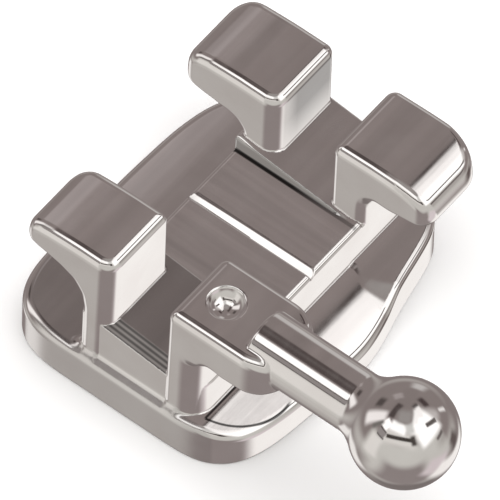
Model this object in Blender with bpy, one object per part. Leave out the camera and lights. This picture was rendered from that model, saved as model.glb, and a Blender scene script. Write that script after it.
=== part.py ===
"""Orthodontic bracket: twin tie-wing body with a ball hook, moulded in one piece of stainless steel.

Laid out in drawing units of 7.8 micrometres, in which the archwire slot is 71.7 units (0.559 mm) wide.
X runs across the slot towards the hook, Y along the slot, Z up from the tooth.
The near end is the end at low Y. The last step moves the origin to the middle of the bonding face and scales to metres.
"""

import math

import bmesh
import bpy
import numpy as np
from mathutils import Matrix

UNIT = 7.8e-6  # metres in one drawing unit

# Bonding face and origin
FOOT_Z = -53.0
MIDDLE = (51.5, 180.0)

# Slot
SLOT_LOW, SLOT_HIGH = 28.0, 99.7
SLOT_FLOOR, SLOT_TILT = 60.0, -0.13

# Core under the wings
CORE_LOW, CORE_HIGH = -17.0, 142.0
NEAR_END, NEAR_STEP, FAR_STEP, FAR_END = 0.0, 111.0, 266.0, 366.0
CHANNEL_FLOOR = 47.0

# Pad: its top falls away beyond this X, evenly at the near end, in a curve beside the channel, less at the far end
PAD_SLOPE_FROM, PAD_SLOPE_NEAR, PAD_BEND, PAD_SLOPE_FAR = 143.3, 0.24, 0.0040, 0.10
PAD_ROUND = 8.0
PAD_OUTLINE = [
    (-107, 60), (-107, 130), (-107, 200), (-103, 275), (-94, 322), (-73, 354), (-40, 366),
    (45, 368), (130, 369), (160, 364), (178, 350), (187, 312), (195, 267), (207, 225),
    (213, 190), (210, 150), (204, 111), (200, 68), (191, 30), (176, 7), (152, -7),
    (126, -9), (40, -9), (-48, -9), (-77, -1), (-94, 15), (-104, 38),
]

# Retention grid in the bonding face
GROOVE_WIDE, GROOVE_DEEP, GRID_PITCH = 13.0, 10.0, 42.0

# Wings: (height, outer edge, near corner radius, far corner radius) of the outer end, from the foot up
EDGE = 7.5
NEAR_LOW = [
    (-21, -7.8, 2, 2), (-1, -7.9, 2, 2), (40, -8, 2, 2), (68, -8.5, 3, 3), (86, -12, 4, 6), (102, -22, 5, 10),
    (112.5, -36, 8, 16), (116.5, -52, 11, 22), (118.5, -64, 13, 25), (122, -75, 14, 27), (127.5, -81.5, 15, 27),
    (135, -84, 15, 27), (143.5, -82, 15, 27),
]
NEAR_LOW_TOP = (157.0, [-77, -71, -62, -50, -30])
FAR_LOW = [
    (-22, -17.2, 4, 4), (60, -17, 4, 4), (70, -18, 5, 5), (81, -31, 7, 9), (88, -45, 9, 14), (92, -59, 12, 20),
    (95, -72, 14, 26), (99, -83, 15, 29), (105, -90, 16, 30), (113, -94, 16, 30), (122, -94.5, 16, 30),
    (130, -92, 16, 30),
]
FAR_LOW_TOP = (147.0, [-84, -74, -61, -43, -22])
FAR_HIGH = [
    (-23, 141.3, 6, 4), (58, 141.3, 6, 4), (74, 142, 6, 6), (84, 144.5, 7, (11, 10)), (91.5, 154, 10, (20, 18)),
    (96, 171, 14, (32, 26)), (99, 190, 17, (44, 32)), (101.5, 205, 19, (52, 36)), (104.5, 216, 20, (58, 38)),
    (109.5, 222.5, 21, (60, 38)), (116, 224.5, 21, (60, 38)), (124, 223, 21, (60, 38)), (132, 218.5, 21, (59, 38)),
]
FAR_HIGH_TOP = (147.0, [211, 206.5, 200.5, 192, 180])
HOOK_WING = [
    (-24, 142.6, 28, 12), (60, 142.6, 28, 12), (88, 143, 28, 14), (93.5, 145, 29, 18), (97, 150, 30, 22),
    (99, 160, 33, 29), (99.8, 177, 39, 38), (100.5, 197, 43, 43), (102.8, 214, 44.5, 44.5), (107.5, 226, 45, 45),
    (115, 234, 45, 45), (125, 236.5, 45, 45), (137, 234.5, 45, 45),
]
HOOK_WING_TOP = (153.0, [227, 222, 215, 206, 194])

# Hook
HOOK_Y, HOOK_Z, ARM_R = 48.0, 135.0, 33.5
BALL_X, BALL_R = 364.0, 57.0

# Index dimple and channel scribe
DIMPLE = (138.0, 50.0, 19.5)
SCRIBE_NEAR, SCRIBE_FAR = 186.3, 196.0


def new_object(name, bm):
    bmesh.ops.recalc_face_normals(bm, faces=bm.faces)
    bmesh.ops.triangulate(bm, faces=bm.faces)
    mesh = bpy.data.meshes.new(name)
    bm.to_mesh(mesh)
    bm.free()
    obj = bpy.data.objects.new(name, mesh)
    bpy.context.scene.collection.objects.link(obj)
    return obj


def rounded(x0, x1, y0, y1, radii, steps=4):
    """Points of a rectangle with its four corners rounded, from the near low corner round."""
    points = []
    corners = ((x0, y0, 1, 1, 180), (x1, y0, -1, 1, 270), (x1, y1, -1, -1, 0), (x0, y1, 1, -1, 90))
    for (x, y, sx, sy, start), radius in zip(corners, radii):
        rx, ry = radius if isinstance(radius, tuple) else (radius, radius)
        rx, ry = max(rx, 0.6), max(ry, 0.6)
        for step in range(steps + 1):
            angle = math.radians(start + 90 * step / steps)
            points.append((x + sx * rx + rx * math.cos(angle), y + sy * ry + ry * math.sin(angle)))
    return points


def loft_bmesh(rings):
    """A closed shape through rings of points, each ring with the same count."""
    bm = bmesh.new()
    rows = [[bm.verts.new(point) for point in ring] for ring in rings]
    count = len(rows[0])
    for low, high in zip(rows, rows[1:]):
        for i in range(count):
            j = (i + 1) % count
            bm.faces.new((low[i], low[j], high[j], high[i]))
    bm.faces.new(rows[0][::-1])
    bm.faces.new(rows[-1])
    return bm


def loft(name, rings):
    return new_object(name, loft_bmesh(rings))


def lathe(name, profile, segments):
    """A closed solid turned about the hook's axis, from (x, radius) points that start and end on it."""
    bm = bmesh.new()
    rows = []
    for x, radius in profile:
        if radius == 0:
            rows.append([bm.verts.new((x, HOOK_Y, HOOK_Z))])
            continue
        row = []
        for i in range(segments):
            angle = 2 * math.pi * i / segments
            row.append(bm.verts.new((x, HOOK_Y + radius * math.cos(angle), HOOK_Z + radius * math.sin(angle))))
        rows.append(row)
    for low, high in zip(rows, rows[1:]):
        for i in range(segments):
            j = (i + 1) % segments
            corners = [low[i % len(low)], low[j % len(low)], high[j % len(high)], high[i % len(high)]]
            bm.faces.new(list(dict.fromkeys(corners)))
    return new_object(name, bm)


def boxes(name, spans):
    """Separate boxes in one mesh."""
    bm = bmesh.new()
    for low, high in spans:
        centre = [(a + b) / 2 for a, b in zip(low, high)]
        size = [b - a for a, b in zip(low, high)]
        place = Matrix.Translation(centre) @ Matrix.Diagonal((*size, 1))
        bmesh.ops.create_cube(bm, size=1, matrix=place)
    return new_object(name, bm)


def combine(target, other, operation):
    other.hide_render = True
    other.display_type = "WIRE"
    modifier = target.modifiers.new(other.name, "BOOLEAN")
    modifier.operation = operation
    modifier.solver = "EXACT"
    modifier.object = other


def smooth_closed(points, count, passes=5):
    """A closed curve through the points, evenly spaced, with its kinks eased."""
    points = np.array(points, float)
    sides = np.linalg.norm(np.roll(points, -1, axis=0) - points, axis=1)
    along = np.concatenate([[0], np.cumsum(sides)])
    at = np.linspace(0, along[-1], 721)[:-1]
    looped = np.vstack([points, points[:1]])
    dense = np.column_stack([np.interp(at, along, looped[:, k]) for k in range(2)])
    for _ in range(passes * 12):
        dense = 0.5 * dense + 0.25 * (np.roll(dense, 1, axis=0) + np.roll(dense, -1, axis=0))
    picks = np.linspace(0, len(dense), count, endpoint=False).astype(int)
    return dense[picks]


def inset(points, by):
    """The closed curve moved inwards, for a curve that runs counter-clockwise."""
    ahead = np.roll(points, -1, axis=0) - np.roll(points, 1, axis=0)
    ahead /= np.linalg.norm(ahead, axis=1)[:, None]
    return points + by * np.column_stack([-ahead[:, 1], ahead[:, 0]])


def ramp(value, low, high):
    t = min(1.0, max(0.0, (value - low) / (high - low)))
    return t * t * (3 - 2 * t)


def pad_drop(x, y):
    """How far the pad's top lies below its level part."""
    out = max(0.0, x - PAD_SLOPE_FROM)
    near, far = 1 - ramp(y, 95, 130), ramp(y, 225, 258)
    return near * PAD_SLOPE_NEAR * out + (1 - near - far) * PAD_BEND * out**2 + far * PAD_SLOPE_FAR * out


def make_pad():
    outline = smooth_closed(PAD_OUTLINE, 84)
    if np.sum(outline[:, 0] * np.roll(outline[:, 1], -1) - outline[:, 1] * np.roll(outline[:, 0], -1)) < 0:
        outline = outline[::-1]
    levels = [(FOOT_Z, 4.0), (FOOT_Z + 1.2, 1.2), (FOOT_Z + 4, 0.0), (-PAD_ROUND, 0.0)]
    for step in range(1, 5):
        angle = math.radians(90 * step / 4)
        levels.append((-PAD_ROUND + PAD_ROUND * math.sin(angle), PAD_ROUND * (1 - math.cos(angle))))
    rings = [[(x, y, z) for x, y in inset(outline, by)] for z, by in levels]
    bm = loft_bmesh(rings)
    bmesh.ops.bisect_plane(
        bm, geom=bm.verts[:] + bm.edges[:] + bm.faces[:], dist=1e-4, plane_co=(PAD_SLOPE_FROM, 0, 0), plane_no=(1, 0, 0)
    )
    for vertex in bm.verts:
        x, y, z = vertex.co
        share = min(1.0, max(0.0, (z - FOOT_Z - 8) / (-PAD_ROUND - FOOT_Z - 8)))
        vertex.co.z = z - pad_drop(x, y) * share
    return new_object("pad", bm)


def make_block(name, low, high, y0, y1, top, tilt, rounds, corner, foot, root):
    """A block of the core. rounds: radii of the top edges at x0, x1, y0, y1. foot: how far each X side spreads at the pad. root: its lowest level, inside the pad."""
    rings = []

    def ring(z, tilted, x0, x1, ya, yb):
        radii = [corner, (28, 28), (3, 3), (3, 3)] if corner else [(3, 3)] * 4
        return [(x, y, z + (tilt * (x - SLOT_LOW) if tilted else 0)) for x, y in rounded(x0, x1, ya, yb, radii)]

    drop = max(rounds)
    for z, spread in ((root, 1.0), (-0.7, 1.0), (3.1, 0.6), (8.2, 0.25), (14.3, 0.05), (21.1, 0.0)):
        rings.append(ring(z, False, low - foot[0] * spread, high + foot[1] * spread, y0, y1))
    for step in range(5):
        angle = math.radians(90 * step / 4)
        r0, r1, r2, r3 = (radius * (1 - math.cos(angle)) for radius in rounds)
        z = top - drop + drop * math.sin(angle)
        rings.append(ring(z, True, low + r0, high - r1, y0 + r2, y1 - r3))
    return loft(name, rings)


def make_wing(name, slot_side, edge, top, y0, y1, slot_corners, draft):
    """A tie wing. slot_side: 1 with the slot at its high X, -1 with the slot at its low X. draft: lean of the near face from foot to top."""
    rings = []
    crown, outer_top = top

    def less(radius, rise):
        return tuple(part - rise for part in radius) if isinstance(radius, tuple) else radius - rise

    def ring(z, outer, near_radius, far_radius, rise):
        near = y0 + draft * max(0.0, z) / crown + rise
        if slot_side > 0:
            x0, x1 = outer, SLOT_LOW - rise
            radii = [less(near_radius, rise), slot_corners[0] - rise, slot_corners[1] - rise, less(far_radius, rise)]
        else:
            x0, x1 = SLOT_HIGH + rise, outer
            radii = [slot_corners[0] - rise, less(near_radius, rise), less(far_radius, rise), slot_corners[1] - rise]
        return [(x, y, z) for x, y in rounded(x0, x1, near, y1 - rise, radii)]

    for z, outer, near_radius, far_radius in edge:
        rings.append(ring(z, outer, near_radius, far_radius, 0.0))
    for step, outer in enumerate(outer_top):
        angle = math.radians(90 * step / 4)
        rise = EDGE * (1 - math.cos(angle))
        rings.append(ring(crown - EDGE + EDGE * math.sin(angle), outer, edge[-1][2], edge[-1][3], rise))
    return loft(name, rings)


def make_hook():
    profile = [(185, 0), (185, 28.5), (185.7, 31), (187.5, 32.8), (190, ARM_R), (303, ARM_R)]
    profile += [(309, ARM_R + 0.4), (314, ARM_R + 1.7), (319, ARM_R + 4.2)]
    first = math.degrees(math.asin(min(1, (ARM_R + 7) / BALL_R)))
    for step in range(13):
        angle = math.radians(180 - first + (first - 180) * step / 12)
        profile.append((BALL_X + BALL_R * math.cos(angle), BALL_R * math.sin(angle) if step < 12 else 0))
    return lathe("hook", profile, 36)


def make_dimple():
    x, y, radius = DIMPLE
    bm = bmesh.new()
    place = Matrix.Translation((x, y, HOOK_WING_TOP[0] + 2.0))
    bmesh.ops.create_uvsphere(bm, u_segments=24, v_segments=12, radius=radius, matrix=place)
    return new_object("dimple_cutter", bm)


def make_scribe():
    """A shallow groove across the channel, with a steep near wall and a leaning far wall, deeper towards the hook."""
    rings = []
    for x, lean in ((-60, 0.50), (-17, 0.50), (120, 0.80), (185, 0.80)):
        deep = lean * (SCRIBE_FAR - SCRIBE_NEAR - 0.7)
        up = CHANNEL_FLOOR + 3
        rings.append([
            (x, SCRIBE_NEAR - 0.3, up), (x, SCRIBE_NEAR + 0.7, CHANNEL_FLOOR - deep), (x, SCRIBE_FAR, CHANNEL_FLOOR),
            (x, SCRIBE_FAR + 3 / lean, up),
        ])
    return loft("scribe_cutter", rings)


def grid_bars():
    """Two sets of grooves that leave square studs, one of them in the middle of the bonding face."""
    low, high = FOOT_Z - 5, FOOT_Z + GROOVE_DEEP
    half = GROOVE_WIDE / 2
    across, along = [], []
    for k in range(-4, 4):
        y = MIDDLE[1] + (k + 0.5) * GRID_PITCH
        across.append(((-84, y - half, low), (168, y + half, high)))
    for k in range(-3, 3):
        x = MIDDLE[0] + (k + 0.5) * GRID_PITCH
        along.append(((x - half, 14, low), (x + half, 346, high)))
    return boxes("grid_across", across), boxes("grid_along", along)


def steel():
    material = bpy.data.materials.new("polished_steel")
    material.use_nodes = True
    shader = material.node_tree.nodes["Principled BSDF"]
    shader.inputs["Base Color"].default_value = (0.62, 0.60, 0.58, 1)
    shader.inputs["Metallic"].default_value = 1.0
    shader.inputs["Roughness"].default_value = 0.12
    return material


def main():
    for obj in list(bpy.data.objects):
        bpy.data.objects.remove(obj)

    body = make_pad()
    body.name = "bracket_body"
    near_corner = (16.0, 75.0)
    joined = [
        make_block("core_near", CORE_LOW, CORE_HIGH - 0.6, NEAR_END, NEAR_STEP, SLOT_FLOOR, SLOT_TILT,
                   (5, 6, 6, 3), near_corner, (0, 0), -18),
        make_block("core_channel", CORE_LOW - 0.5, CORE_HIGH, NEAR_STEP - 2, FAR_STEP + 1, CHANNEL_FLOOR, 0.0,
                   (6, 6, 1, 1), None, (12, 4), -26),
        make_block("core_far", CORE_LOW - 1, CORE_HIGH - 0.4, FAR_STEP, FAR_END, SLOT_FLOOR, SLOT_TILT,
                   (5, 6, 2, 3), None, (12, 4), -31),
        make_wing("wing_near_low", 1, NEAR_LOW, NEAR_LOW_TOP, 0.4, 97, (18, 6), 4),
        make_wing("wing_far_low", 1, FAR_LOW, FAR_LOW_TOP, 271, 369, (19, 12), 1),
        make_wing("wing_far_high", -1, FAR_HIGH, FAR_HIGH_TOP, 269, 368, (8, 12), 1),
        make_wing("wing_near_high", -1, HOOK_WING, HOOK_WING_TOP, 0.5, 97, (7, 11), 5),
        make_hook(),
    ]
    for other in joined:
        combine(body, other, "UNION")
    for cutter in (make_dimple(), make_scribe(), *grid_bars()):
        combine(body, cutter, "DIFFERENCE")

    bpy.context.view_layer.update()
    graph = bpy.context.evaluated_depsgraph_get()
    finished = bpy.data.meshes.new_from_object(body.evaluated_get(graph))
    body.modifiers.clear()
    body.data = finished
    for obj in list(bpy.data.objects):
        if obj is not body:
            bpy.data.objects.remove(obj)
    move = Matrix.Translation((-MIDDLE[0], -MIDDLE[1], -FOOT_Z))
    finished.transform(Matrix.Scale(UNIT, 4) @ move)
    finished.materials.clear()
    finished.materials.append(steel())
    finished.polygons.foreach_set("use_smooth", [True] * len(finished.polygons))
    finished.set_sharp_from_angle(angle=math.radians(40))
    finished.update()


main()
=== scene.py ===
"""Orthodontic bracket in polished steel, on a pale floor in soft studio light.

The visible body is built as a signed distance field in drawing units of 7.8 micrometres: X runs across the
archwire slot towards the hook, Y along the slot, Z up from the tooth. Its surface is meshed, moved onto the
exact field, thinned where it is flat, and given the field's own normals, so that every rounded edge reflects
smoothly.
"""

import math
from concurrent.futures import ThreadPoolExecutor

import bpy
import numpy as np
from mathutils import Matrix, Vector


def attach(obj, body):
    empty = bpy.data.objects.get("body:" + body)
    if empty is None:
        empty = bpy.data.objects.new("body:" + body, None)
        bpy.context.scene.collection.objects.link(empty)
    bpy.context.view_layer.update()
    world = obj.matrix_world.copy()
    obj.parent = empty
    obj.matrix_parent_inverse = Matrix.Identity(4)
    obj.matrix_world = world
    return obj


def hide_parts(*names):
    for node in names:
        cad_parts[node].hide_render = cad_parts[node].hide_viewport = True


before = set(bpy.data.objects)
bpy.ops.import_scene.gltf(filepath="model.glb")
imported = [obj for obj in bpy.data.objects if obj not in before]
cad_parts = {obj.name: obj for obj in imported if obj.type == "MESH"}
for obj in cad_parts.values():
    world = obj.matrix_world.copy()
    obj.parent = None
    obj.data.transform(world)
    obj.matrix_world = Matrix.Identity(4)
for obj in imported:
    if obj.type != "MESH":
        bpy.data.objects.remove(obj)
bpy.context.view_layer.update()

UNIT = 7.8e-6  # metres in one drawing unit
FOOT_Z = -53.0
MIDDLE = (51.5, 180.0)
CELL = 1.7  # grid spacing of the field
TRIANGLES = 186000

SLOT_LOW, SLOT_HIGH = 28.0, 99.7
SLOT_FLOOR, SLOT_TILT = 60.0, -0.13
CHANNEL_FLOOR = 47.0
DRAFT = 4.0 / 153.0  # lean of the near faces
EDGE = 11.5  # rounding of the wings' top edges

PAD_SLOPE_FROM, PAD_SLOPE_NEAR, PAD_BEND, PAD_SLOPE_FAR = 143.3, 0.24, 0.0040, 0.10
PAD_OUTLINE = [
    (-107, 60), (-107, 130), (-107, 200), (-103, 275), (-94, 322), (-73, 354), (-40, 366),
    (45, 368), (130, 369), (160, 364), (178, 350), (187, 312), (195, 267), (207, 225),
    (213, 190), (210, 150), (204, 111), (200, 68), (191, 30), (176, 7), (152, -7),
    (126, -9), (40, -9), (-48, -9), (-77, -1), (-94, 15), (-104, 38),
]

# Outer outlines of the four wings seen along the slot, from the foot over the lip to the slot side
WING_NEAR_LOW = [
    (-8, -30), (-8, 0), (-8, 40), (-8.5, 68), (-12, 86), (-22, 102), (-36, 112), (-52, 116.5), (-64, 118.5),
    (-75, 122), (-81.5, 127.5), (-84, 135), (-82, 143.5), (-76, 149.5), (-66, 153), (-50, 155), (-30, 156.3),
    (-10, 157), (28, 157), (75, 157),
]
WING_FAR_LOW = [
    (-17, -30), (-17, 0), (-17, 58), (-18.5, 69), (-25, 77.5), (-36, 83.5), (-52, 87.5), (-66, 89),
    (-78, 91.5), (-87.5, 97), (-93, 105), (-94.5, 114), (-93.5, 124), (-88, 134), (-77, 141), (-62, 144.5),
    (-40, 146), (-20, 147), (28, 147), (75, 147),
]
WING_FAR_HIGH = [
    (141.5, -30), (141.5, 0), (141.5, 68), (142.5, 78), (146, 86.5), (155, 92.5), (171, 96), (190, 99), (205, 101.5),
    (216, 104.5), (222.5, 109.5), (224.7, 116), (223.5, 124), (219, 131.5), (211.5, 138), (201.5, 142.6),
    (190, 145.4), (177, 147.2), (163, 147.8), (150, 147.8), (125, 147), (99, 146), (60, 145),
]
WING_HOOK = [
    (142.6, -30), (142.6, 0), (142.6, 85), (144, 92), (149, 97), (160, 99.5), (177, 100), (197, 100.5),
    (214, 102.5), (226, 107.5), (234, 115), (237, 125), (235, 137), (228, 146), (217, 151), (202, 153),
    (180, 153), (100, 153), (60, 153),
]

HOOK_Y, HOOK_Z, ARM_R, ARM_START = 48.0, 135.0, 33.5, 185.0
BALL_X, BALL_R = 364.0, 56.9

DIMPLE = (138.0, 50.0, 19.5)
SCRIBE_NEAR, SCRIBE_FAR = 187.0, 196.0
GROOVE_HALF, GROOVE_DEEP, GRID_PITCH = 6.5, 10.0, 42.0


def rounded_max(a, b, r):
    """Where two fields overlap, with the outer edge between them rounded to radius r."""
    return np.minimum(np.maximum(a, b), -r) + np.hypot(np.maximum(a + r, 0), np.maximum(b + r, 0))


def rounded_min(a, b, r):
    """Two fields joined, with a fillet of radius r between them."""
    return np.maximum(np.minimum(a, b), r) - np.hypot(np.maximum(r - a, 0), np.maximum(r - b, 0))


def ramp(value, low, high):
    t = np.clip((value - low) / (high - low), 0, 1)
    return t * t * (3 - 2 * t)


def eased(points, closed, step=1.2, passes=6):
    """A curve through the points, evenly spaced, with its kinks eased."""
    points = np.array(points, float)
    if closed:
        points = np.vstack([points, points[:1]])
    along = np.concatenate([[0], np.cumsum(np.linalg.norm(np.diff(points, axis=0), axis=1))])
    count = int(along[-1] / step)
    at = np.linspace(0, along[-1], count + 1)
    dense = np.column_stack([np.interp(at, along, points[:, k]) for k in range(2)])
    if closed:
        dense = dense[:-1]
    for _ in range(passes):
        before, after = np.roll(dense, 1, axis=0), np.roll(dense, -1, axis=0)
        moved = 0.5 * dense + 0.25 * (before + after)
        if not closed:
            moved[0], moved[-1] = dense[0], dense[-1]
        dense = moved
    return dense


class Sheet:
    """Signed distance to a closed curve, negative inside, held on a grid and read with a smooth spline."""

    def __init__(self, curve, step=1.5, margin=60.0):
        low, high = curve.min(axis=0) - margin, curve.max(axis=0) + margin
        shape = ((high - low) / step).astype(int) + 2
        a = (low[0] + step * np.arange(shape[0]))[:, None]
        b = (low[1] + step * np.arange(shape[1]))[None, :]
        best = np.full((shape[0], shape[1]), 1e12)
        inside = np.zeros(best.shape, bool)
        for (pa, pb), (qa, qb) in zip(curve, np.roll(curve, -1, axis=0)):
            ea, eb = qa - pa, qb - pb
            length = ea * ea + eb * eb
            if length < 1e-12:
                continue
            t = np.clip(((a - pa) * ea + (b - pb) * eb) / length, 0, 1)
            np.minimum(best, (a - pa - ea * t) ** 2 + (b - pb - eb * t) ** 2, out=best)
            if pb != qb:
                inside ^= ((pb <= b) != (qb <= b)) & (a < pa + (b - pb) * ea / eb)
        self.values = np.where(inside, -1, 1) * np.sqrt(best)
        self.low, self.step = low, step

    def __call__(self, a, b):
        place, weights = [], []
        for value, low, count in zip((a, b), self.low, self.values.shape):
            at = np.clip((value - low) / self.step, 1, count - 3.001)
            whole = np.floor(at)
            f = at - whole
            place.append(whole.astype(np.int32))
            weights.append(((1 - f) ** 3 / 6, (3 * f**3 - 6 * f * f + 4) / 6,
                            (-3 * f**3 + 3 * f * f + 3 * f + 1) / 6, f**3 / 6))
        total = 0.0
        for m in range(4):
            for n in range(4):
                total = total + weights[0][m] * weights[1][n] * self.values[place[0] + m - 1, place[1] + n - 1]
        return total.astype(np.float32)


def wing_sheet(points, inner):
    """The outline of a wing seen along the slot, closed inside the body."""
    outer = eased(points, closed=False, passes=7)
    end, start = outer[-1], outer[0]
    return Sheet(np.vstack([outer, [(end[0], -30.0 - inner)], [(start[0], -30.0 - inner)]]))


PAD = Sheet(eased(PAD_OUTLINE, closed=True, step=1.6, passes=190), step=2.0, margin=70.0)
NEAR_LOW = wing_sheet(WING_NEAR_LOW, 8)
FAR_LOW = wing_sheet(WING_FAR_LOW, 8)
FAR_HIGH = wing_sheet(WING_FAR_HIGH, 8)
HOOK_WING = wing_sheet(WING_HOOK, 8)


def block(x, y, z, low, high, near, far, top, tilt, edges, corner, inner=0.0):
    """A block of the core. edges: radii of its top edge towards low X, high X, near and far. inner: how far its sides are drawn in."""
    lid = (z - top - tilt * (x - SLOT_LOW)) / math.hypot(1, tilt)
    side_low = low + inner - x
    side_high = x - high + inner
    side_near = near + inner + DRAFT * np.clip(z, 0, 160) - y
    if corner:
        cx, cy = corner
        curve = (np.hypot(np.maximum(low + cx - x, 0) / cx, np.maximum(near + cy - y, 0) / cy) - 1) * cx + inner
        side_low = np.maximum(side_low, curve)
        plan = rounded_max(side_near, side_high, 28.0)
    else:
        plan = rounded_max(side_near, side_high, 3.0)
    plan = rounded_max(plan, side_low, 3.0)
    mix = ramp(x, low + 10, high - 25)
    radius = edges[0] + (edges[1] - edges[0]) * mix
    close = 1 - ramp(y, near + 12, near + 34)
    away = ramp(x, low + 8, low + 30) * (1 - ramp(x, high - 30, high - 12))
    radius = radius + (edges[2] - radius) * close * away
    solid = rounded_max(plan, lid, radius)
    return rounded_max(solid, y - far + inner, edges[3])


def weld(a, b, b_inner, r):
    """b joined to a, with a small fillet that stays off the faces they share."""
    return np.minimum(rounded_min(a, b_inner, r), b)


def bracket(x, y, z):
    """Signed distance to the bracket's surface, in drawing units, negative in the steel."""
    # Pad, with its top sloping away on the hook's side
    out = np.maximum(x - PAD_SLOPE_FROM, 0)
    eased_out = np.where(out < 8, out * out / 16, out - 4)
    shelf = 255 + 0.45 * np.maximum(x - 168, 0)
    at_near, at_far = 1 - ramp(y, 95, 130), ramp(y, shelf - 9 - 0.6 * np.maximum(x - 150, 0), shelf)
    drop = at_near * PAD_SLOPE_NEAR * eased_out + (1 - at_near - at_far) * PAD_BEND * out**2
    drop = drop + at_far * (PAD_SLOPE_FAR * eased_out - 1.6 * ramp(x, 120, 150))
    drop = drop + 0.0008 * ramp(y, 80, 140) * np.maximum(-17 - x, 0) ** 2
    lid = (z + drop) * 0.975
    pad = rounded_max(PAD(x, y), lid, 8.0 + 4.0 * (1 - ramp(x, -70, 0)))
    pad = rounded_max(pad, FOOT_Z - z, 2.5)

    # Core: near block, channel and far block
    facet = (z - SLOT_FLOOR - SLOT_TILT * (x - SLOT_LOW) + 0.28 * (20.0 - y)) / math.hypot(1, 0.28)
    core_high = 142.2 - 0.04 * np.clip(z, 0, 60)

    def near_block(inner):
        made = block(x, y, z, -17, core_high, 0.0, 111, SLOT_FLOOR, SLOT_TILT, (6, 6, 4, 3.0), (16.0, 75.0), inner)
        return np.maximum(made, facet)

    def channel_block(inner):
        return block(x, y, z, -17.5, core_high, 104, 270, CHANNEL_FLOOR, 0.0, (6, 6, 6, 1.5), None, inner)

    def far_block(inner):
        return block(x, y, z, -18, core_high, 262, 366, SLOT_FLOOR, SLOT_TILT, (5, 6, 1.6, 3.0), None, inner)

    near_y = DRAFT * np.clip(z, 0, 160) - y

    far_y = 0.006 * np.clip(z, 0, 160) - y

    # Near wing away from the hook
    plan = rounded_max(near_y, x - SLOT_LOW, 18.0)
    plan = rounded_max(plan, y - 97, 6.0)
    plan = np.maximum(plan, rounded_max(near_y, -84.6 - x, 14.0))
    plan = np.maximum(plan, rounded_max(y - 97, -84.6 - x, 27.0))
    under = ramp(-x, 5, 40) * (1 - ramp(z, 118, 140))
    low_near = rounded_max(plan, NEAR_LOW(x, z), EDGE - (EDGE - 5.0) * under)

    # Far wing on the same side
    plan = rounded_max(270.5 + far_y, x - SLOT_LOW, 19.0)
    plan = np.maximum(plan, rounded_max(y - 369, x - SLOT_LOW, 12.0))
    plan = np.maximum(plan, rounded_max(y - 369, -94.8 - x, 30.0))
    plan = np.maximum(plan, rounded_max(270.5 + far_y, -94.8 - x, 16.0))
    under = ramp(-x, 20, 50) * (1 - ramp(z, 95, 118))
    low_far = rounded_max(plan, FAR_LOW(x, z), EDGE - (EDGE - 6.0) * under)

    # Far wing on the hook's side
    plan = rounded_max(268.5 + far_y, SLOT_HIGH - x, 8.0)
    plan = np.maximum(plan, rounded_max(y - 368, SLOT_HIGH - x, 12.0))
    plan = np.maximum(plan, rounded_max(268.5 + far_y, x - 224.9, 21.0))
    corner = (np.hypot(np.maximum(x - 164.9, 0) / 60, np.maximum(y - 330, 0) / 38) - 1) * 45
    plan = np.maximum(plan, corner)
    under = ramp(x, 150, 175) * (1 - ramp(z, 105, 125))
    high_far = rounded_max(plan, FAR_HIGH(x, z), EDGE - (EDGE - 6.0) * under)

    # Hook's wing, with a round nose
    half = 48.5 - 0.5 * DRAFT * np.clip(z, 0, 160)
    middle = 97.0 - half
    nose = np.hypot(np.maximum(x - 189.5, 0), y - middle) - half
    plan = rounded_max(nose, SLOT_HIGH - 0.2 - x, 8.0)
    plan = np.maximum(plan, rounded_max(y - 97, SLOT_HIGH - 0.2 - x, 11.0))
    stem = rounded_max(near_y, x - 142.6, 28.0)
    low_part = 1 - ramp(z, 82, 98)
    plan = np.maximum(plan, np.where(low_part > 0, stem * low_part + plan * (1 - low_part), plan))
    under = ramp(x, 150, 170) * (1 - ramp(z, 108, 122))
    high_near = rounded_max(plan, HOOK_WING(x, z), EDGE - (EDGE - 6.0) * under)

    body = weld(low_near, near_block(0.0), near_block(3.0), 1.6)
    body = weld(high_near, body, np.maximum(body + 0.0, near_block(3.0)), 1.6)
    far = weld(low_far, far_block(0.0), far_block(3.0), 1.6)
    far = weld(high_far, far, np.maximum(far, far_block(3.0)), 1.6)
    middle_part = weld(body, channel_block(0.0), channel_block(3.0), 2.0)
    body = weld(far, middle_part, np.maximum(middle_part, channel_block(3.0)), 1.6)

    body = np.maximum(body, -25.0 - z)

    # Fillets where the body rises from the pad
    high_side = 2.0
    low_side = 1.5 + 11.5 * ramp(y, 10, 60) - 11 * ramp(y, 335, 362)
    foot = low_side + (high_side - low_side) * ramp(x, 20, 100)
    foot = foot + (8.5 - foot) * (1 - ramp(y, 4, 16)) * (1 - ramp(x, 110, 136))
    solid = rounded_min(body, pad, foot)

    # Hook arm and ball
    around = np.hypot(y - HOOK_Y, z - HOOK_Z)
    arm = rounded_max(around - ARM_R, ARM_START - x, 5.0)
    arm = rounded_max(arm, x - BALL_X, 1.0)
    ball = np.sqrt((x - BALL_X) ** 2 + (y - HOOK_Y) ** 2 + (z - HOOK_Z) ** 2) - BALL_R
    hook = rounded_min(arm, ball, 10.0)
    solid = rounded_min(solid, hook, 2.0)

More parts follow.
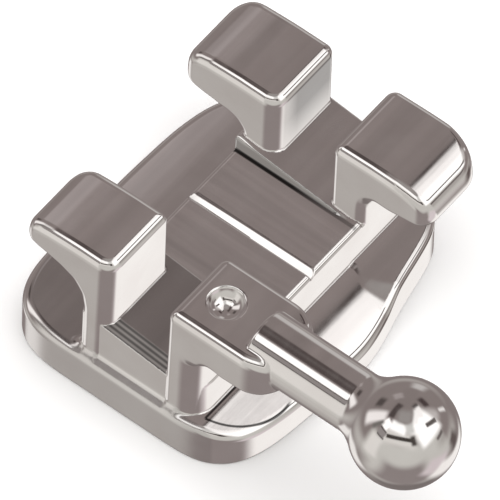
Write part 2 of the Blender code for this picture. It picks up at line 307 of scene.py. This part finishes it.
    # Index dimple, channel scribe and retention grid
    dimple = np.sqrt((x - DIMPLE[0]) ** 2 + (y - DIMPLE[1]) ** 2 + (z - 155.0) ** 2) - DIMPLE[2]
    solid = rounded_max(solid, -dimple, 2.5)
    lean = 0.49 + 0.0016 * np.clip(x + 17, 0, 137)
    scribe = (CHANNEL_FLOOR - lean * (SCRIBE_FAR - y) - z) / np.sqrt(1 + lean * lean)
    scribe = np.maximum(scribe, SCRIBE_NEAR - 0.15 * (z - CHANNEL_FLOOR + 5) - y)
    solid = rounded_max(solid, -np.maximum(scribe, np.maximum(30 - z, y - SCRIBE_FAR - 3)), 1.0)
    along_y, along_x = y - MIDDLE[1], x - MIDDLE[0]
    across = np.maximum(np.abs(np.mod(along_y, GRID_PITCH) - GRID_PITCH / 2) - GROOVE_HALF, np.abs(x - 42.0) - 122.5)
    across = np.maximum(across, np.abs(along_y) - 153.5)
    along = np.maximum(np.abs(np.mod(along_x, GRID_PITCH) - GRID_PITCH / 2) - GROOVE_HALF, np.abs(along_y) - 166.0)
    along = np.maximum(along, np.abs(along_x) - 111.5)
    grid = np.maximum(np.minimum(across, along), z - FOOT_Z - GROOVE_DEEP)
    return rounded_max(solid, -grid, 1.0)


def surface(values):
    """Vertices, in grid steps, and quads of the surface where the values change sign."""
    inside = values < 0
    nx, ny, nz = values.shape
    corners = [(i, j, k) for i in (0, 1) for j in (0, 1) for k in (0, 1)]
    count = np.zeros((nx - 1, ny - 1, nz - 1), np.uint8)
    for i, j, k in corners:
        count += inside[i:nx - 1 + i, j:ny - 1 + j, k:nz - 1 + k]
    active = (count > 0) & (count < 8)
    cells = np.argwhere(active)
    number = np.full(active.shape, -1, np.int32)
    number[active] = np.arange(len(cells))
    held = np.column_stack([values[cells[:, 0] + i, cells[:, 1] + j, cells[:, 2] + k] for i, j, k in corners])
    total, hits = np.zeros((len(cells), 3)), np.zeros(len(cells))
    for a in range(8):
        for b in range(a + 1, 8):
            if sum(p != q for p, q in zip(corners[a], corners[b])) != 1:
                continue
            va, vb = held[:, a], held[:, b]
            cross = (va < 0) != (vb < 0)
            t = np.where(cross, va / np.where(cross, va - vb, 1), 0)
            start, end = np.array(corners[a], float), np.array(corners[b], float)
            total += np.where(cross[:, None], start + t[:, None] * (end - start), 0)
            hits += cross
    vertices = cells + total / hits[:, None]
    quads = []
    for axis in range(3):
        one, two = (axis + 1) % 3, (axis + 2) % 3
        low, high = [slice(None)] * 3, [slice(None)] * 3
        low[axis], high[axis] = slice(0, -1), slice(1, None)
        first, second = inside[tuple(low)], inside[tuple(high)]
        for change, flip in ((first & ~second, False), (~first & second, True)):
            at = np.argwhere(change)
            ring = []
            for d_one, d_two in ((-1, -1), (0, -1), (0, 0), (-1, 0)):
                cell = at.copy()
                cell[:, one] += d_one
                cell[:, two] += d_two
                ring.append(number[cell[:, 0], cell[:, 1], cell[:, 2]])
            ring = np.column_stack(ring)
            quads.append(ring[:, ::-1] if flip else ring)
    return vertices, np.vstack(quads)


def in_parts(task, items):
    """The task's results for the items, worked out side by side."""
    with ThreadPoolExecutor(max_workers=4) as pool:
        return list(pool.map(task, items))


def distances(points):
    parts = np.array_split(points, max(1, len(points) // 12000))
    return np.concatenate(in_parts(lambda p: bracket(p[:, 0], p[:, 1], p[:, 2]), parts))


def gradient(points, step):
    offsets = np.array([(1, -1, -1), (-1, -1, 1), (-1, 1, -1), (1, 1, 1)], float) * step
    total = np.zeros_like(points)
    for offset in offsets:
        total += offset[None, :] * distances(points + offset)[:, None]
    return total / (4 * step * step)


def settle(points, rounds, reach):
    """The points moved onto the surface, none of them further than reach."""
    start = points.copy()
    for _ in range(rounds):
        slope = gradient(points, 0.35)
        distance = distances(points)
        size = np.maximum(np.sum(slope * slope, axis=1), 0.25)
        points = points - slope * (distance / size)[:, None]
        shift = points - start
        length = np.linalg.norm(shift, axis=1)
        points = start + shift * np.minimum(1, reach / np.maximum(length, 1e-9))[:, None]
    return points


def build_body():
    low = np.array([-107.0, -9.0, FOOT_Z]) - 3 * CELL
    high = np.array([421.0, 369.0, 192.0]) + 3 * CELL
    axes = [np.arange(a, b + CELL, CELL, dtype=np.float32) for a, b in zip(low, high)]
    slabs = np.array_split(axes[0], 64)
    values = in_parts(lambda x: bracket(x[:, None, None], axes[1][None, :, None], axes[2][None, None, :]), slabs)
    values = np.concatenate(values).astype(np.float32)
    vertices, quads = surface(values)
    del values
    points = settle(low + vertices * CELL, 1, CELL)
    mesh = bpy.data.meshes.new("bracket_fine")
    mesh.from_pydata(points.tolist(), [], quads.tolist())
    rough = bpy.data.objects.new("bracket_fine", mesh)
    bpy.context.scene.collection.objects.link(rough)
    thin = rough.modifiers.new("thin", "DECIMATE")
    thin.ratio = TRIANGLES / (2 * len(quads))
    thin.use_collapse_triangulate = True
    bpy.context.view_layer.update()
    graph = bpy.context.evaluated_depsgraph_get()
    finished = bpy.data.meshes.new_from_object(rough.evaluated_get(graph))
    bpy.data.objects.remove(rough)
    bpy.data.meshes.remove(mesh)
    finished.name = "bracket_polished"

    flat = np.empty(len(finished.vertices) * 3)
    finished.vertices.foreach_get("co", flat)
    points = settle(flat.reshape(-1, 3), 2, 0.6)
    normals = gradient(points, 0.5)
    normals /= np.maximum(np.linalg.norm(normals, axis=1), 1e-6)[:, None]
    placed = (points - np.array([MIDDLE[0], MIDDLE[1], FOOT_Z])) * UNIT
    placed[:, 2] = np.maximum(placed[:, 2], 0.0)
    finished.vertices.foreach_set("co", placed.ravel())
    finished.polygons.foreach_set("use_smooth", [True] * len(finished.polygons))
    finished.update()
    finished.normals_split_custom_set_from_vertices(normals.tolist())
    print("bracket mesh:", len(quads) * 2, "->", len(finished.polygons), "triangles")
    body = bpy.data.objects.new("bracket_polished", finished)
    bpy.context.scene.collection.objects.link(body)
    return body


def node(tree, kind, **settings):
    made = tree.nodes.new(kind)
    for key, value in settings.items():
        setattr(made, key, value)
    return made


def polished_steel():
    material = bpy.data.materials.new("polished_steel_detail")
    material.use_nodes = True
    tree = material.node_tree
    shader = tree.nodes["Principled BSDF"]
    shader.inputs["Metallic"].default_value = 1.0
    coords = node(tree, "ShaderNodeTexCoord")

    def noise(scale, detail, stretch=(1, 1, 1)):
        mapping = node(tree, "ShaderNodeMapping")
        mapping.inputs["Scale"].default_value = stretch
        tree.links.new(coords.outputs["Object"], mapping.inputs["Vector"])
        made = node(tree, "ShaderNodeTexNoise")
        made.inputs["Scale"].default_value = scale
        made.inputs["Detail"].default_value = detail
        tree.links.new(mapping.outputs["Vector"], made.inputs["Vector"])
        return made

    def span(source, low, high, to_low, to_high):
        made = node(tree, "ShaderNodeMapRange")
        made.inputs["From Min"].default_value = low
        made.inputs["From Max"].default_value = high
        made.inputs["To Min"].default_value = to_low
        made.inputs["To Max"].default_value = to_high
        tree.links.new(source, made.inputs["Value"])
        return made.outputs["Result"]

    def product(a, b):
        made = node(tree, "ShaderNodeMath", operation="MULTIPLY")
        tree.links.new(a, made.inputs[0])
        tree.links.new(b, made.inputs[1])
        return made.outputs["Value"]

    def window(source, low, high, soft):
        return product(span(source, low - soft, low + soft, 0.0, 1.0), span(source, high - soft, high + soft, 1.0, 0.0))

    def blend(factor, a, b):
        """a where the factor is 0, b where it is 1; each a number or a socket."""
        made = node(tree, "ShaderNodeMix", data_type="FLOAT")
        tree.links.new(factor, made.inputs["Factor"])
        for name, value in (("A", a), ("B", b)):
            if isinstance(value, float):
                made.inputs[name].default_value = value
            else:
                tree.links.new(value, made.inputs[name])
        return made.outputs["Result"]

    place = node(tree, "ShaderNodeSeparateXYZ")
    tree.links.new(coords.outputs["Object"], place.inputs["Vector"])
    at_x, at_y, at_z = (place.outputs[axis] for axis in "XYZ")
    geometry = node(tree, "ShaderNodeNewGeometry")
    parts = node(tree, "ShaderNodeSeparateXYZ")
    tree.links.new(geometry.outputs["Normal"], parts.inputs["Vector"])
    upward = span(parts.outputs["Z"], 0.9, 0.98, 0.0, 1.0)
    channel_floor = product(upward, window(at_z, 0.73e-3, 0.794e-3, 0.004e-3))
    near_floor = product(span(parts.outputs["Z"], 0.80, 0.9, 0.0, 1.0), span(at_y, -0.56e-3, -0.53e-3, 1.0, 0.0))
    near_floor = product(near_floor, window(at_z, 0.74e-3, 0.94e-3, 0.004e-3))
    near_lip = product(near_floor, span(at_y, -1.25e-3, -1.24e-3, 1.0, 0.0))
    near_rim = product(span(at_y, -1.405e-3, -1.390e-3, 1.0, 0.0), span(at_z, 0.43e-3, 0.50e-3, 1.0, 0.0))

    # Colour drifts a little between warmer and cooler steel
    drift = noise(2600, 3)
    colour = node(tree, "ShaderNodeValToRGB")
    colour.color_ramp.elements[0].position = 0.3
    colour.color_ramp.elements[0].color = (0.84, 0.805, 0.79, 1)
    colour.color_ramp.elements[1].position = 0.7
    colour.color_ramp.elements[1].color = (0.90, 0.875, 0.86, 1)
    tree.links.new(drift.outputs["Fac"], colour.inputs["Fac"])

    # Soft polishing streaks: along the slot on the wing tops, across it on the channel's floor
    along = span(noise(4400, 2.5, (1.0, 0.03, 1.0)).outputs["Fac"], 0.3, 0.7, 0.88, 1.10)
    across = span(noise(7000, 3, (0.045, 1.0, 1.0)).outputs["Fac"], 0.3, 0.7, 0.86, 1.12)
    shade = blend(upward, 1.0, blend(channel_floor, along, across))
    # Painted shade darkening the near slot floor
    shade = product(shade, blend(near_floor, 1.0, 0.66))
    # Painted reflection: light and dark bands on the slot floor's near lip, a sine along the slot
    turns = node(tree, "ShaderNodeMath", operation="MULTIPLY")
    tree.links.new(at_y, turns.inputs[0])
    turns.inputs[1].default_value = 2 * math.pi / 38e-6
    wave = node(tree, "ShaderNodeMath", operation="SINE")
    tree.links.new(turns.outputs["Value"], wave.inputs[0])
    painted_reflection_bands = span(wave.outputs["Value"], -0.9, 0.9, 0.45, 1.25)
    shade = product(shade, blend(near_lip, 1.0, painted_reflection_bands))
    # Painted shade dimming the reflection on the pad's near rim
    shade = product(shade, blend(near_rim, 1.0, 0.88))
    # Painted shade on the far wing's slot wall away from its foot, and on the pad's top at its near low corner
    slot_wall = product(span(parts.outputs["X"], 0.9, 0.98, 0.0, 1.0), span(at_y, 0.66e-3, 0.70e-3, 0.0, 1.0))
    slot_wall = product(slot_wall, span(at_x, -0.16e-3, -0.15e-3, 1.0, 0.0))
    away = product(span(at_y, 0.70e-3, 0.98e-3, 0.0, 1.0), span(at_z, 0.90e-3, 1.22e-3, 0.35, 1.0))
    shade = product(shade, blend(product(slot_wall, away), 1.0, 0.34))
    pad_top = product(upward, window(at_z, 0.30e-3, 0.43e-3, 0.006e-3))
    shade = product(shade, blend(product(pad_top, span(at_y, -0.80e-3, -0.60e-3, 1.0, 0.0)), 1.0, blend(span(at_x, 0.0, 0.6e-3, 0.0, 1.0), 0.74, 1.0)))
    # Painted dark reflection line round the pad's sloping near corner
    from_corner = node(tree, "ShaderNodeVectorMath", operation="DISTANCE")
    flat_place = node(tree, "ShaderNodeCombineXYZ")
    tree.links.new(at_x, flat_place.inputs["X"])
    tree.links.new(at_y, flat_place.inputs["Y"])
    tree.links.new(flat_place.outputs["Vector"], from_corner.inputs[0])
    from_corner.inputs[1].default_value = (0.585e-3, -0.800e-3, 0.0)
    low_pad = span(at_z, 0.42e-3, 0.44e-3, 1.0, 0.0)
    arc = product(window(from_corner.outputs["Value"], 0.526e-3, 0.546e-3, 0.004e-3), window(at_x, 0.735e-3, 1.2e-3, 0.004e-3))
    arc = product(product(arc, span(at_y, -0.76e-3, -0.70e-3, 1.0, 0.0)), low_pad)
    side = product(window(at_x, 0.722e-3, 0.742e-3, 0.004e-3), window(at_y, -1.315e-3, -0.90e-3, 0.01e-3))
    side = product(side, low_pad)
    shade = product(shade, blend(arc, 1.0, 0.12))
    shade = product(shade, blend(side, 1.0, 0.12))
    # Painted shade in the crease at the foot of the far step, and on the step itself
    step_face = product(window(at_y, 0.644e-3, 0.662e-3, 0.003e-3), window(at_z, 0.788e-3, 0.95e-3, 0.004e-3))
    crease = product(window(at_y, 0.616e-3, 0.652e-3, 0.006e-3), window(at_z, 0.765e-3, 0.792e-3, 0.004e-3))
    fading = span(at_x, 0.05e-3, 0.60e-3, 0.06, 0.55)
    shade = product(shade, blend(step_face, 1.0, 0.55))
    shade = product(shade, blend(crease, 1.0, fading))
    toned = node(tree, "ShaderNodeVectorMath", operation="SCALE")
    tree.links.new(colour.outputs["Color"], toned.inputs["Vector"])
    tree.links.new(shade, toned.inputs["Scale"])
    tree.links.new(toned.outputs["Vector"], shader.inputs["Base Color"])

    # Finish: mirror polish, softer where the brush ran and in the floors
    brushed = noise(9000, 4, (1.0, 0.06, 1.0))
    marks = span(brushed.outputs["Fac"], 0.25, 0.75, 0.0, 1.0)
    cloudy = noise(5200, 4)
    rough = span(cloudy.outputs["Fac"], 0.3, 0.75, 0.045, 0.10)
    for extra in (span(product(marks, upward), 0.0, 1.0, 0.0, 0.09), span(channel_floor, 0.0, 1.0, 0.0, 0.08),
                  span(near_rim, 0.0, 1.0, 0.0, 0.12)):
        total = node(tree, "ShaderNodeMath", operation="ADD")
        tree.links.new(rough, total.inputs[0])
        tree.links.new(extra, total.inputs[1])
        rough = total.outputs["Value"]
    tree.links.new(rough, shader.inputs["Roughness"])

    pits = noise(14000, 3)
    soft = node(tree, "ShaderNodeBump")
    soft.inputs["Strength"].default_value = 0.06
    soft.inputs["Distance"].default_value = 2.0e-6
    tree.links.new(pits.outputs["Fac"], soft.inputs["Height"])
    lines = node(tree, "ShaderNodeBump")
    lines.inputs["Strength"].default_value = 0.10
    lines.inputs["Distance"].default_value = 2.0e-6
    tree.links.new(product(marks, upward), lines.inputs["Height"])
    tree.links.new(soft.outputs["Normal"], lines.inputs["Normal"])
    tree.links.new(lines.outputs["Normal"], shader.inputs["Normal"])
    return material


# Camera axes at the photograph's angle
RIGHT = np.array((0.7854, 0.6186, 0.0228))
RISE = np.array((-0.5184, 0.6371, 0.5704))
BACK = np.array((0.3383, -0.4598, 0.8211))
AIM = (78.54, 166.40, 60.82)
LENS = 1500.0
DISTANCE = 500.0 * LENS / 36.0


def place_camera():
    data = bpy.data.cameras.new("camera")
    data.sensor_width = 36.0
    data.lens = LENS
    data.clip_start = 0.0005
    data.clip_end = 50.0
    camera = bpy.data.objects.new("camera", data)
    bpy.context.scene.collection.objects.link(camera)
    back = Vector(BACK).normalized()
    right = Vector(RIGHT)
    right = (right - back * right.dot(back)).normalized()
    rise = back.cross(right)
    target = Vector([(a - b) * UNIT for a, b in zip(AIM, (MIDDLE[0], MIDDLE[1], FOOT_Z))])
    place = target + back * (DISTANCE * UNIT)
    camera.matrix_world = Matrix(
        ((right.x, rise.x, back.x, place.x), (right.y, rise.y, back.y, place.y), (right.z, rise.z, back.z, place.z), (0, 0, 0, 1))
    )
    bpy.context.scene.camera = camera


# The studio seen by the steel, as soft panels laid over each other:
# azimuth and elevation of the middle, half width, half height, roll (degrees), softness, colour
HORIZON = (-0.35, 0.05)
BACKDROP = (0.25, 0.215, 0.208)
GROUND = (0.62, 0.605, 0.575)
PANELS = [
    # darker ground behind the object and under it
    (126, -50, 62, 36, 0, 0.20, (0.25, 0.215, 0.21)),
    (0, -88, 20, 20, 0, 0.15, (0.20, 0.175, 0.17)),
    # pale ground in front, with the darker floor under the camera
    (-50, 2, 78, 27, 0, 0.16, (0.60, 0.59, 0.56)),
    (-52, -46, 33, 27, 0, 0.16, (0.28, 0.245, 0.24)),
    (-166, -50, 12, 13, 0, 0.10, (0.90, 0.88, 0.86)),
    (6, -36, 17, 16, -20, 0.12, (0.70, 0.63, 0.65)),
    (50, -54, 25, 12, 0, 0.10, (1.0, 0.98, 0.96)),
    (50, -26, 8, 12, 25, 0.10, (0.13, 0.105, 0.10)),
    # large softbox on the hook's side, with its upper strips
    (57, 42, 9, 20, 0, 0.14, (0.56, 0.53, 0.52)),
    (15, 45, 27, 25, 0, 0.10, (1.3, 1.3, 1.29)),
    (38, 69, 15, 5, 0, 0.06, (1.1, 1.09, 1.08)),
    (66, 61, 13, 5, 0, 0.05, (1.1, 1.08, 1.07)),
    # softbox over the near end, and the bright wall behind it
    (-68, 42, 36, 15, 0, 0.12, (0.74, 0.72, 0.69)),
    (-80, 63, 17, 10, 0, 0.07, (1.2, 1.2, 1.19)),
    (-30, 62, 8, 10, 0, 0.08, (0.66, 0.66, 0.64)),
    (-116, 3, 13, 21, 0, 0.10, (0.78, 0.76, 0.73)),
    (-123, 52, 9, 9, 0, 0.045, (1.3, 1.29, 1.28)),
    (-114, 34, 9, 6, 0, 0.035, (0.30, 0.275, 0.27)),
    # narrow softbox on the other side, with a dark stand beside it
    (-156, 32, 10, 23, -12, 0.10, (0.98, 0.95, 0.94)),
    (-137, 36, 4, 13, -8, 0.07, (0.18, 0.17, 0.16)),
    # pale wall low on the other side
    (141, 42, 7, 7, 0, 0.05, (0.38, 0.34, 0.335)),
    # dark flags
    (-65, 43, 28, 4, 0, 0.035, (0.055, 0.047, 0.042)),
    (-30, 37, 5, 10, 0, 0.06, (0.07, 0.06, 0.055)),
    (-116, 41, 9, 1.6, 0, 0.02, (0.10, 0.085, 0.08)),
    (-112, 27, 9, 1.6, 0, 0.02, (0.11, 0.10, 0.095)),
    (180, 68, 16, 6, 0, 0.05, (0.085, 0.068, 0.066)),
    (27, 11, 9, 3, 0, 0.035, (0.15, 0.13, 0.125)),
    (36, 38, 13, 4.2, -40, 0.03, (0.12, 0.105, 0.10)),
    (91, 60, 3.5, 6, 0, 0.045, (0.07, 0.056, 0.054)),
    (87, 41, 9, 6, 0, 0.06, (0.07, 0.052, 0.052)),
    (173, 31, 8, 8, 0, 0.08, (0.09, 0.075, 0.072)),
    # low lights behind
    (71, 10, 2.5, 9, 20, 0.05, (0.9, 0.88, 0.87)),
    (112, 8, 7, 10, 0, 0.08, (0.55, 0.53, 0.52)),
    # ceiling
    (-60, 88, 13, 13, 0, 0.12, (0.33, 0.31, 0.30)),
]


def build_world():
    world = bpy.data.worlds.new("studio")
    bpy.context.scene.world = world
    world.use_nodes = True
    tree = world.node_tree
    tree.nodes.clear()
    coords = node(tree, "ShaderNodeTexCoord")
    way = coords.outputs["Generated"]

    def dot(axis):
        made = node(tree, "ShaderNodeVectorMath", operation="DOT_PRODUCT")
        tree.links.new(way, made.inputs[0])
        made.inputs[1].default_value = axis
        return made.outputs["Value"]

    def maths(operation, a, b=None):
        made = node(tree, "ShaderNodeMath", operation=operation)
        tree.links.new(a, made.inputs[0])
        if b is not None:
            tree.links.new(b, made.inputs[1])
        return made.outputs["Value"]

    def fade(source, low, high, to_low=0.0, to_high=1.0):
        made = node(tree, "ShaderNodeMapRange", interpolation_type="SMOOTHSTEP")
        made.inputs["From Min"].default_value = low
        made.inputs["From Max"].default_value = high
        made.inputs["To Min"].default_value = to_low
        made.inputs["To Max"].default_value = to_high
        tree.links.new(source, made.inputs["Value"])
        return made.outputs["Result"]

    base = node(tree, "ShaderNodeMix", data_type="RGBA")
    tree.links.new(fade(dot((0, 0, 1)), *HORIZON), base.inputs["Factor"])
    base.inputs["A"].default_value = (*GROUND, 1)
    base.inputs["B"].default_value = (*BACKDROP, 1)
    layer = base.outputs["Result"]
    for azimuth, elevation, wide, tall, roll, soft, colour in PANELS:
        az, el, ro = math.radians(azimuth), math.radians(elevation), math.radians(roll)
        out = Vector((math.cos(el) * math.cos(az), math.cos(el) * math.sin(az), math.sin(el)))
        side = Vector((-math.sin(az), math.cos(az), 0))
        up = out.cross(side)
        across, upright = side * math.cos(ro) + up * math.sin(ro), up * math.cos(ro) - side * math.sin(ro)
        if wide > 85:
            edge_a = None
        else:
            edge_a = fade(maths("ABSOLUTE", dot(across)), math.sin(math.radians(wide)) - soft, math.sin(math.radians(wide)) + soft, 1, 0)
        edge_b = fade(maths("ABSOLUTE", dot(upright)), math.sin(math.radians(tall)) - soft, math.sin(math.radians(tall)) + soft, 1, 0)
        front = fade(dot(out), 0.0, 0.15)
        mask = maths("MULTIPLY", edge_b, front)
        if edge_a is not None:
            mask = maths("MULTIPLY", mask, edge_a)
        mix = node(tree, "ShaderNodeMix", data_type="RGBA")
        tree.links.new(mask, mix.inputs["Factor"])
        tree.links.new(layer, mix.inputs["A"])
        mix.inputs["B"].default_value = (*colour, 1)
        layer = mix.outputs["Result"]

    studio = node(tree, "ShaderNodeBackground")
    tree.links.new(layer, studio.inputs["Color"])
    plain = node(tree, "ShaderNodeBackground")
    plain.inputs["Color"].default_value = (0.93, 0.93, 0.93, 1)
    path = node(tree, "ShaderNodeLightPath")
    choose = node(tree, "ShaderNodeMixShader")
    tree.links.new(path.outputs["Is Camera Ray"], choose.inputs["Fac"])
    tree.links.new(studio.outputs["Background"], choose.inputs[1])
    tree.links.new(plain.outputs["Background"], choose.inputs[2])
    out = node(tree, "ShaderNodeOutputWorld")
    tree.links.new(choose.outputs["Shader"], out.inputs["Surface"])


def build_floor():
    mesh = bpy.data.meshes.new("floor")
    reach, parts = 0.5, 24
    points, faces = [], []
    for j in range(parts + 1):
        for i in range(parts + 1):
            points.append((reach * (2 * i / parts - 1), reach * (2 * j / parts - 1), -1.5e-6))
    for j in range(parts):
        for i in range(parts):
            a = j * (parts + 1) + i
            faces.append((a, a + 1, a + parts + 2, a + parts + 1))
    mesh.from_pydata(points, [], faces)
    floor = bpy.data.objects.new("floor", mesh)
    bpy.context.scene.collection.objects.link(floor)
    material = bpy.data.materials.new("floor_paper")
    material.use_nodes = True
    tree = material.node_tree
    shader = tree.nodes["Principled BSDF"]
    shader.inputs["Roughness"].default_value = 0.9
    shader.inputs["Specular IOR Level"].default_value = 0.1
    coords = node(tree, "ShaderNodeTexCoord")
    grain = node(tree, "ShaderNodeTexNoise")
    grain.inputs["Scale"].default_value = 900
    tree.links.new(coords.outputs["Object"], grain.inputs["Vector"])
    ramp_node = node(tree, "ShaderNodeValToRGB")
    ramp_node.color_ramp.elements[0].color = (0.90, 0.90, 0.90, 1)
    ramp_node.color_ramp.elements[1].color = (0.93, 0.93, 0.93, 1)
    tree.links.new(grain.outputs["Fac"], ramp_node.inputs["Fac"])
    tree.links.new(ramp_node.outputs["Color"], shader.inputs["Base Color"])
    mesh.materials.append(material)
    floor.visible_glossy = False
    return floor


def build_light():
    data = bpy.data.lights.new("overhead", "AREA")
    data.shape = "DISK"
    data.size = 0.09
    data.energy = 0.062
    light = bpy.data.objects.new("overhead", data)
    bpy.context.scene.collection.objects.link(light)
    light.location = (0.0, 0.005, 0.075)
    light.visible_glossy = False
    light.visible_camera = False
    return light


body = build_body()
body.data.materials.append(polished_steel())
body.visible_glossy = False
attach(body, "root")
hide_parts("bracket_body")

floor = build_floor()
build_world()
build_light()
place_camera()

settings = bpy.context.scene.view_settings
settings.view_transform = "Standard"
settings.look = "None"
settings.exposure = 0.0
settings.gamma = 1.0
